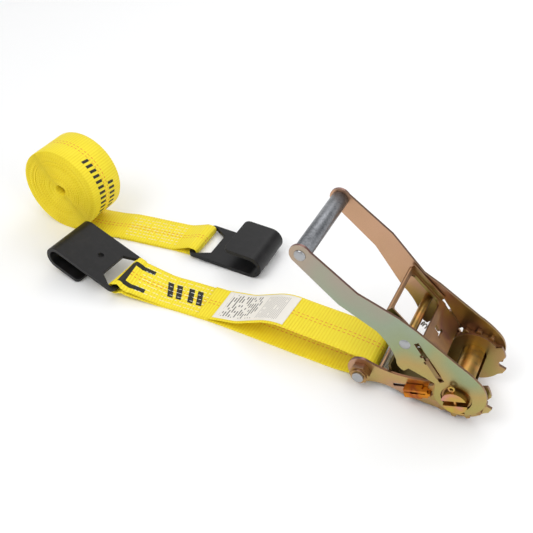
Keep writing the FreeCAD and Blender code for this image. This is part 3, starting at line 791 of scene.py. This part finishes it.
# a coil stands in for each spring node, fixed where the node is; the pawl's slide axis gives a reach that
# nothing uses
for node, seat, pawl in (
    ("drive_pawl_spring", "handle", "drive_pawl"),
    ("stop_pawl_spring", "ratchet_frame", "stop_pawl"),
):
    made = coil(node + "Coil", node, springLook["wire"], springLook["turns"])
    centre, _, half, _ = nodeAxis(node)
    reach = np.array(joints[pawl + "_slide"]["axis"]) * half
    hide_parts(node)
    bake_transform(made)

rivetLook = {"dome": 2.4 * mm, "headRound": 6.0 * mm, "edge": 0.2 * mm, "steps": 7}


def rivet(name, node, shank, body, reach):
    # a shank with a domed head at each end, reaching as far as the node does
    low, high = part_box(node)
    centre = (np.array(low) + np.array(high)) / 2
    half = (high[1] - low[1]) / 2 + reach
    dome, headRound = rivetLook["dome"], rivetLook["headRound"]
    head = []
    for k in range(rivetLook["steps"]):
        angle = math.pi / 2 * k / (rivetLook["steps"] - 1)
        head.append((half - dome * (1 - math.sin(angle)), headRound * max(math.cos(angle), 0.02)))
    shoulder = [
        (half - dome, shank),
        (half - dome, headRound * 0.97),
        (half - dome + rivetLook["edge"], headRound),
    ]
    oneEnd = shoulder + head[1:]
    profile = [(-d, r) for d, r in oneEnd[::-1]] + oneEnd
    made = lathe(name, profile, centre, (0, 1, 0), finishes["bright"])
    return finishPiece(made, body, "bare_steel", node)


rivet("gripRivet", "grip_rod", 5.2 * mm, "handle", 0.0)
rivet("crossRivet", "crossbar_rivet", 3.2 * mm, "handle", 0.0)


gripShape = {
    "wall": 1.5 * mm,
    "lip": 1.6 * mm,  # the free edge stands off the tube by this much
    "seam": -118.0,  # degrees round from +X towards +Z, where the sheet's free edge lies
    "gap": 9.0,
    "steps": 96,
    "chamfer": 0.5 * mm,
    "tuck": 0.9 * mm,  # how far the first edge is tucked in, over the first eighth of the turn
    "lipFrom": 0.86,  # the share of the turn at which the free edge starts to stand off
}


def rolledGrip():
    # sheet aluminium rolled into a sleeve, its free edge left slightly proud along the underside
    low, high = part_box("grip_tube")
    centre = (np.array(low) + np.array(high)) / 2
    outer = (high[2] - low[2]) / 2
    shape = gripShape
    turn = math.radians(360 - shape["gap"])
    start = math.radians(shape["seam"])
    rim = []
    for k in range(shape["steps"] + 1):
        share = k / shape["steps"]
        lift = shape["lip"] * max(0.0, (share - shape["lipFrom"]) / (1 - shape["lipFrom"])) ** 2
        tuck = shape["tuck"] * (1 - min(1.0, share * 8)) ** 2
        rim.append((start + turn * share, outer - tuck + lift * 0.6))
    inner = [(angle, radius - shape["wall"]) for angle, radius in rim[::-1]]
    section = rim + inner
    count = len(section)
    ends = [
        (low[1], -shape["chamfer"]),
        (low[1] + shape["chamfer"], 0.0),
        (high[1] - shape["chamfer"], 0.0),
        (high[1], -shape["chamfer"]),
    ]
    points, faces = [], []
    for y, inset in ends:
        for k, (angle, radius) in enumerate(section):
            r = radius + (inset if k <= shape["steps"] else 0)
            points.append((centre[0] + r * math.cos(angle), y, centre[2] + r * math.sin(angle)))
    for j in range(len(ends) - 1):
        for k in range(count):
            nextK = (k + 1) % count
            faces.append((j * count + k, j * count + nextK, (j + 1) * count + nextK, (j + 1) * count + k))
    half = count // 2
    for j in (0, len(ends) - 1):
        for k in range(half - 1):
            first, last = j * count + k, (j + 1) * count - 1 - k
            faces.append((first, first + 1, last - 1, last))
    made = meshObject("gripSleeve", points, faces, finishes["grip"])
    outward(made)
    return finishPiece(made, "handle", "grip_aluminium", "grip_tube")


rolledGrip()
print("turned pieces made")


# webbing: a flat woven strip laid along a route

def rounded(points, step):
    # points: (x, z, radius); a line through them with each corner turned into an arc
    line = []
    for k, (x, z, radius) in enumerate(points):
        here = np.array((x, z))
        if k in (0, len(points) - 1) or radius == 0:
            line.append(here)
            continue
        back = np.array(points[k - 1][:2]) - here
        ahead = np.array(points[k + 1][:2]) - here
        back /= np.linalg.norm(back)
        ahead /= np.linalg.norm(ahead)
        halfTurn = (math.pi - math.acos(np.clip(back @ ahead, -1, 1))) / 2
        start = here + back * radius * math.tan(halfTurn)
        middle = here + (back + ahead) / np.linalg.norm(back + ahead) * radius / math.cos(halfTurn)
        first = start - middle
        side = np.sign(first[0] * (ahead - back)[1] - first[1] * (ahead - back)[0])
        count = max(3, int(2 * halfTurn * radius / step))
        for j in range(count + 1):
            angle = side * 2 * halfTurn * j / count
            line.append(middle + np.array((
                first[0] * math.cos(angle) - first[1] * math.sin(angle),
                first[0] * math.sin(angle) + first[1] * math.cos(angle),
            )))
    return evenly(np.array(line), step)


def evenly(line, step):
    gaps = np.linalg.norm(np.diff(line, axis=0), axis=1)
    keep = np.concatenate(([True], gaps > 1e-9))
    line = line[keep]
    far = np.concatenate(([0.0], np.cumsum(np.linalg.norm(np.diff(line, axis=0), axis=1))))
    places = np.linspace(0, far[-1], max(2, int(round(far[-1] / step)) + 1))
    return np.stack([np.interp(places, far, line[:, k]) for k in range(line.shape[1])], axis=1)


class Route:
    # a webbing's middle line with, at each point, its side (along +Y) and its outward face
    def __init__(self, line, side):
        self.line = np.array(line)
        self.side = np.array(side) / np.linalg.norm(side, axis=1)[:, None]
        ahead = np.gradient(self.line, axis=0)
        ahead /= np.linalg.norm(ahead, axis=1)[:, None]
        self.side -= ahead * np.sum(self.side * ahead, axis=1)[:, None]
        self.side /= np.linalg.norm(self.side, axis=1)[:, None]
        self.face = np.cross(ahead, self.side)
        gaps = np.linalg.norm(np.diff(self.line, axis=0), axis=1)
        self.far = np.concatenate(([0.0], np.cumsum(gaps)))
        self.length = self.far[-1]

    def at(self, across, along, height):
        # the points in space that lie so far across, along and above the webbing's middle line
        def pick(values):
            return np.stack([np.interp(along, self.far, values[:, k]) for k in range(3)], axis=1)

        return pick(self.line) + pick(self.side) * across[:, None] + pick(self.face) * height[:, None]


def strip(name, route, finish, width, thick, scallop=0.0, along=None, flutter=None, across=14):
    # a closed strip over the whole route; its UV is (across, along) in metres
    along = route.far if along is None else along
    half = width / 2
    corner = thick * 0.5
    inner = np.linspace(-1, 1, across + 1)
    top = [(u * (half - corner * 0.6), corner) for u in inner]
    edge = [(half - corner * 0.15, corner * 0.6), (half, 0.0), (half - corner * 0.15, -corner * 0.6)]
    bottom = [(-u * (half - corner * 0.6), -corner) for u in inner]
    section = np.array(top + edge + bottom + [(-u, h) for u, h in edge[::-1]][::-1])
    section[len(top) + 3 + len(bottom):] = [(-u, -h) for u, h in edge]
    count, rings = len(section), len(along)
    points = np.empty((rings * count, 3))
    flat = np.empty((rings * count, 2))
    for j, far in enumerate(along):
        wave = scallop * (abs(math.sin(math.pi * far / webShape["scallopPitch"])) - 0.5) if scallop else 0.0
        u = section[:, 0] * (1 + wave / half * (np.abs(section[:, 0]) > half - corner * 0.7))
        shift = flutter(far) if flutter else 0.0
        points[j * count:(j + 1) * count] = route.at(u + shift, np.full(count, far), section[:, 1])
        flat[j * count:(j + 1) * count, 0] = u
        flat[j * count:(j + 1) * count, 1] = far
    faces, uvs = [], []
    for j in range(rings - 1):
        for k in range(count):
            nextK = (k + 1) % count
            face = (j * count + k, j * count + nextK, (j + 1) * count + nextK, (j + 1) * count + k)
            faces.append(face)
            uvs.append([flat[v] for v in face])
    for j in (0, rings - 1):
        ring = tuple(j * count + k for k in range(count))
        faces.append(ring[::-1] if j else ring)
        uvs.append([flat[v] for v in faces[-1]])
    made = meshObject(name, points, faces, finish, uvs)
    outward(made)
    return made


def smoothed(values, span):
    # a running mean whose window is span samples wide, the ends held
    padded = np.concatenate((np.full(span, values[0]), values, np.full(span, values[-1])))
    mean = np.convolve(padded, np.ones(span) / span, mode="same")
    return mean[span:-span]


spindleX, spindleY = 273 * mm, -38 * mm
routeStep = 1.0 * mm

# side view of the short strap, x from the spindle and z from the floor, mm: from the inner end
# sewn under the lap, out to the hook's bar, back on the floor, round the anchor and to the lap
hookBar = (-394.26, 12.51)
anchor = (-98.0, 18.1)
shortLine = [
    (-282, 2.75, 0),
    (-343, 2.75, 60),
    (hookBar[0] + 12, hookBar[1] + 1.3, 8),
    (hookBar[0] + 2.0, hookBar[1] + 7.4, 4),
    (hookBar[0] - 6.8, hookBar[1] + 3.4, 4),
    (hookBar[0] - 5.0, hookBar[1] - 6.6, 4),
    (hookBar[0] + 6.0, hookBar[1] - 4.6, 5),
    (-345, 0.95, 60),
    (-128, 0.95, 30),
    (anchor[0] + 1.5, anchor[1] - 13.4, 9),
    (anchor[0] + 13.2, anchor[1] - 4.0, 8.5),
    (anchor[0] + 10.8, anchor[1] + 10.2, 9),
    (-125, 31.9, 40),
    (-205, 33.1, 60),
    (-247, 12.1, 40),
    (-281, 4.6, 20),
    (-296, 4.55, 0),
]
# how far the middle of the short strap lies off the ratchet's own middle, mm, by x
shortDrift = [
    (-394.3, -4.6), (-378, -2.0), (-335, 4.0), (-279, 6.0),
    (-231, 4.5), (-169, 1.5), (-120, 0.0), (-88, 0.0),
]


def shortRoute():
    scaled = [(x * mm, z * mm, radius * mm) for x, z, radius in shortLine]
    line = rounded(scaled, routeStep)
    stations = np.array(shortDrift) * mm
    fine = np.linspace(-0.41, -0.08, 331)
    eased = smoothed(np.interp(fine, stations[:, 0], stations[:, 1]), 25)
    drift = np.interp(line[:, 0], fine, eased)
    slope = np.interp(line[:, 0], fine, np.gradient(eased, fine))
    barTilt = math.radians(6.6)
    near = np.clip((-0.35 - line[:, 0]) / 0.035, 0, 1)
    lean = -slope * (1 - near) + math.tan(barTilt) * near
    centre = np.stack((line[:, 0] + spindleX, drift + spindleY, line[:, 1]), axis=1)
    side = np.stack((lean, np.ones(len(line)), np.zeros(len(line))), axis=1)
    return Route(centre, side)


route = shortRoute()
print("short strap length", round(route.length, 4))
shortMarks = [
    # (start, end, low, high, slant), mm: a bracket at the hook's end and a row of slanted blocks
    (86, 118, -19, -13, 0),
    (86, 118, 12, 18, 0),
    (111, 118, -19, 18, 0),
    (2, 8, -9, 11, -0.35),
    (20, 27, -10, 12, -0.35),
    (31, 38, -10, 12, -0.35),
    (46, 53, -10, 12, -0.35),
    (57, 64, -10, 12, -0.35),
]
finishes["webShort"] = polyesterWeb(
    "printed polyester webbing",
    [(start * mm, end * mm, low * mm, high * mm, slant) for start, end, low, high, slant in shortMarks],
)
shortStrap = strip(
    "shortWebbing", route, finishes["webShort"], webShape["width"], webShape["thick"], webShape["scallop"]
)
finishPiece(shortStrap, "short_strap", "webbing", "short_strap")

# the label lies on the strap's upper layer, one end caught in the seam
labelShape = {"width": 46 * mm, "start": -277.0, "end": -190.0, "thick": 0.5 * mm, "lift": 1.1 * mm}


def alongAt(route, x, upper):
    # distance along the route where it passes x (mm from the spindle), on the upper layer
    places = route.line[:, 0] - spindleX
    keep = np.where((np.abs(places - x * mm) < 2 * routeStep) & (route.far > upper))[0]
    best = keep[np.argmin(np.abs(places[keep] - x * mm))]
    return route.far[best]


upperStart = route.far[np.argmax(route.line[:, 0])]
labelEnds = sorted(alongAt(route, labelShape[end], upperStart) for end in ("start", "end"))
labelSteps = np.linspace(labelEnds[0], labelEnds[1], 90)


class Lifted:
    # a route raised off another by a fixed height
    def __init__(self, base, lift, start):
        self.base, self.lift, self.start = base, lift, start
        self.far = base.far

    def at(self, across, along, height):
        return self.base.at(across, along + self.start, height + self.lift)


topSign = 1.0 if route.face[60, 2] > 0 else -1.0
faceSign = 1.0 if route.face[np.searchsorted(route.far, labelEnds[0]), 2] > 0 else -1.0
labelRoute = Lifted(route, labelShape["lift"] * faceSign, labelEnds[0])
label = strip(
    "label", labelRoute, finishes["label"], labelShape["width"], labelShape["thick"], 0.0,
    labelSteps - labelEnds[0],
)
finishPiece(label, "short_strap", "label", "strap_label")
print("short strap made")


rollLook = {
    "centre": (-251.7 * mm, 43.1 * mm, 54.3 * mm),
    "yaw": 86.6,
    "outer": 54.3 * mm,
    "core": 7.5 * mm,
    "pitch": 1.3 * mm,
    "thick": 1.0 * mm,
    "flutter": 0.7 * mm,
}
farBar = (-80.89, 60.4, 6.01)
# the tail, seen from the side, mm: x in the row frame and z from the floor
tailLine = [
    (-196, 0.95, 0),
    (-178, 2.8, 12),
    (-107, 2.8, 30),
    (farBar[0] - 4.0, farBar[2] + 5.6, 6),
    (farBar[0] + 6.2, farBar[2] + 5.0, 4),
    (farBar[0] + 5.6, farBar[2] - 5.6, 4),
    (farBar[0] - 6.0, farBar[2] - 4.8, 5),
    (-107, 0.95, 30),
    (-182, 0.95, 0),
]
tailDrift = [(-252, 43.1), (-223, 42.5), (-199, 46.6), (-167, 51.8), (-136, 55.3), (-108, 58.8), (-70, 60.4)]


def longRoute():
    look = rollLook
    yaw = math.radians(look["yaw"])
    axis = np.array((math.cos(yaw), math.sin(yaw), 0.0))
    ahead = np.array((math.sin(yaw), -math.cos(yaw), 0.0))
    outer = look["outer"] - look["thick"] / 2
    turns = (outer - look["core"]) / look["pitch"]
    angles = np.linspace(turns, 0, int(turns * 240))
    radius = outer - angles * look["pitch"]
    # the roll is pressed a little out of round, less so towards its heart
    turned = -math.pi / 2 - angles * 2 * math.pi
    radius = radius - 0.25 * mm * (1 + np.cos(2 * turned + 0.6)) * (radius / outer) ** 2 * (angles > 0.02)
    up = np.array((0.0, 0.0, 1.0))
    middle = np.array(look["centre"])
    spiral = middle + np.outer(radius * np.cos(turned), ahead) + np.outer(radius * np.sin(turned), up)
    # two stations to a weft loop, so that the edge scallops stand at every turn
    spiral = evenly(spiral, webShape["scallopPitch"] / 2)
    scaled = [(x * mm, z * mm, r * mm) for x, z, r in tailLine]
    run = rounded(scaled, routeStep)
    joined = np.stack((np.linspace(spiral[-1, 0], run[0, 0], 60)[1:-1], np.full(58, run[0, 1])), axis=1)
    joined[:, 1] = np.interp(joined[:, 0], (spiral[-1, 0], run[0, 0]), (spiral[-1, 2], run[0, 1]))
    run = np.concatenate((joined, run))
    stations = np.array(tailDrift) * mm
    fine = np.linspace(-0.27, -0.06, 211)
    eased = smoothed(np.interp(fine, stations[:, 0], stations[:, 1]), 21)
    drift = np.interp(run[:, 0], fine, eased)
    slope = np.interp(run[:, 0], fine, np.gradient(eased, fine))
    near = np.clip((run[:, 0] + 0.115) / 0.03, 0, 1)
    first = np.clip((-0.2 - run[:, 0]) / 0.05, 0, 1)
    lean = -slope * (1 - near) * (1 - first) + first * axis[0] / axis[1]
    tail = np.stack((run[:, 0], drift, run[:, 1]), axis=1)
    tail[:, 1] += (spiral[-1, 1] - tail[0, 1]) * np.clip(1 - np.abs(run[:, 0] - run[0, 0]) / 0.03, 0, 1)
    tailSide = np.stack((lean, np.ones(len(run)), np.zeros(len(run))), axis=1)
    line = np.concatenate((spiral, tail))
    side = np.concatenate((np.tile(axis, (len(spiral), 1)), tailSide))
    return Route(line, side), len(spiral)


longWay, spiralCount = longRoute()
print("long strap length", round(longWay.length, 3))


def rollFlutter(far):
    # each turn sits a little proud or shy of its neighbours
    if far > longWay.far[spiralCount - 1]:
        return 0.0
    fade = min(1.0, (longWay.far[spiralCount - 1] - far) / 0.15)
    return rollLook["flutter"] * fade * (
        0.6 * math.sin(far * 17.3) + 0.4 * math.sin(far * 41.7 + 1.3)
    )


rollEnd = longWay.far[spiralCount - 1]
tailMiddle = np.searchsorted(longWay.far, rollEnd + 100 * mm)
tailSign = 1.0 if longWay.face[tailMiddle, 2] > 0 else -1.0
# two rows of printed bars over the roll's last turn, mm: (back from the end of the roll, low, high)
rollMarks = {"rows": ((318, 200, -13.5, -3.5), (322, 236, 4, 13.5)), "pitch": 7.2, "bar": 3.6, "slant": 0.14}
finishes["webLong"] = polyesterWeb(
    "polyester webbing",
    [
        (rollEnd - far * mm, rollEnd - near * mm, low * mm, high * mm, rollMarks["slant"])
        for far, near, low, high in rollMarks["rows"]
    ],
    (rollMarks["pitch"] * mm, rollMarks["bar"] * mm),
)
longStrap = strip(
    "longWebbing", longWay, finishes["webLong"], webShape["width"], rollLook["thick"], webShape["scallop"],
    flutter=rollFlutter, across=4,
)
finishPiece(longStrap, "long_strap", "webbing", "strap_roll", "strap_tail")
print("long strap made")


# stitches: rows of short threads laid flat by geometry nodes, then bent onto the webbing

def stitchTree():
    tree = bpy.data.node_groups.new("stitchRows", "GeometryNodeTree")
    face = tree.interface
    for name, kind in (("Length", "NodeSocketFloat"), ("Width", "NodeSocketFloat"),
                       ("Count", "NodeSocketInt"),
                       ("Rows", "NodeSocketInt"), ("Thread", "NodeSocketFloat"), ("Reach", "NodeSocketFloat"),
                       ("Finish", "NodeSocketMaterial")):
        face.new_socket(name=name, in_out="INPUT", socket_type=kind)
    face.new_socket(name="Geometry", in_out="OUTPUT", socket_type="NodeSocketGeometry")
    inputs = tree.nodes.new("NodeGroupInput").outputs
    grid = addNode(
        tree,
        "GeometryNodeMeshGrid",
        links={
            "Size X": inputs["Length"], "Size Y": inputs["Width"],
            "Vertices X": inputs["Count"], "Vertices Y": inputs["Rows"],
        },
    )
    thread = addNode(tree, "GeometryNodeMeshUVSphere", {"Segments": 8, "Rings": 6, "Radius": 1.0})
    size = addNode(
        tree, "ShaderNodeCombineXYZ",
        links={"X": inputs["Reach"], "Y": inputs["Thread"], "Z": inputs["Thread"]},
    )
    slim = addNode(
        tree,
        "GeometryNodeTransform",
        links={"Geometry": thread.outputs["Mesh"], "Scale": size.outputs["Vector"]},
    )
    swing = addNode(
        tree,
        "FunctionNodeRandomValue",
        {"Min": (0.0, 0.0, -0.1), "Max": (0.0, 0.0, 0.1), "Seed": 11},
        data_type="FLOAT_VECTOR",
    )
    drift = addNode(
        tree,
        "FunctionNodeRandomValue",
        {"Min": (-1.5 * mm, -0.2 * mm, 0.0), "Max": (1.5 * mm, 0.2 * mm, 0.0), "Seed": 4},
        data_type="FLOAT_VECTOR",
    )
    strewn = addNode(
        tree,
        "GeometryNodeSetPosition",
        links={"Geometry": grid.outputs["Mesh"], "Offset": drift.outputs["Value"]},
    )
    sown = addNode(
        tree,
        "GeometryNodeInstanceOnPoints",
        links={
            "Points": strewn.outputs["Geometry"], "Instance": slim.outputs["Geometry"],
            "Rotation": swing.outputs["Value"],
        },
    )
    real = addNode(tree, "GeometryNodeRealizeInstances", links={"Geometry": sown.outputs["Instances"]})
    painted = addNode(
        tree,
        "GeometryNodeSetMaterial",
        links={"Geometry": real.outputs["Geometry"], "Material": inputs["Finish"]},
    )
    addNode(tree, "NodeGroupOutput", links={"Geometry": painted.outputs["Geometry"]})
    return tree


stitchNodes = stitchTree()


def sewRows(name, route, body, start, end, halfWidth, rows, height):
    # rows of stitches on a route between two distances along it, standing height off its middle
    spec = {
        "Length": end - start, "Width": 2 * halfWidth, "Rows": rows,
        "Count": int((end - start) / stitchLook["pitch"]), "Thread": stitchLook["thread"],
        "Reach": stitchLook["reach"], "Finish": finishes["thread"],
    }
    holder = meshObject(name, [(0, 0, 0)], [], None)
    grow = holder.modifiers.new("stitches", "NODES")
    grow.node_group = stitchNodes
    for item in stitchNodes.interface.items_tree:
        if item.in_out == "INPUT":
            grow[item.identifier] = spec[item.name]
    data = plainMesh(holder)
    points = np.empty(len(data.vertices) * 3)
    data.vertices.foreach_get("co", points)
    points = points.reshape(-1, 3)
    along = points[:, 0] + (start + end) / 2
    bent = route.at(points[:, 1], along, points[:, 2] * stitchLook["flat"] + height)
    data.vertices.foreach_set("co", bent.ravel())
    data.polygons.foreach_set("use_smooth", [True] * len(data.polygons))
    data.update()
    holder.data = data
    return finishPiece(holder, body, "webbing")


stitchLook = {"pitch": 4.4 * mm, "thread": 0.34 * mm, "reach": 2.0 * mm, "flat": 0.7}
webTop = webShape["thick"] / 2
sewRows("shortSeam", route, "short_strap", 8 * mm, 96 * mm, 19 * mm, 7, webTop * topSign)
tailStart = longWay.far[spiralCount - 1] + 76 * mm
sewRows(
    "tailSeam", longWay, "long_strap", tailStart, tailStart + 66 * mm, 17 * mm, 7,
    rollLook["thick"] / 2 * tailSign,
)
print("stitches sewn")


# floor

floorLook = {"colour": "#FBFBFB", "size": 8.0}
floorMaterial = startMaterial("pale floor", 0.0, 0.75, floorLook["colour"])[0]
half = floorLook["size"] / 2
floorPiece = meshObject(
    "floor",
    [(-half, -half, -0.0002), (half, -half, -0.0002), (half, half, -0.0002), (-half, half, -0.0002)],
    [(0, 1, 2, 3)],
    floorMaterial,
    smooth=False,
)
floorPiece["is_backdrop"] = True

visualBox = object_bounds()
boxes = {"cad": cadBox, "visual": visualBox}
{name: [list(corner) for corner in box] for name, box in boxes.items()}
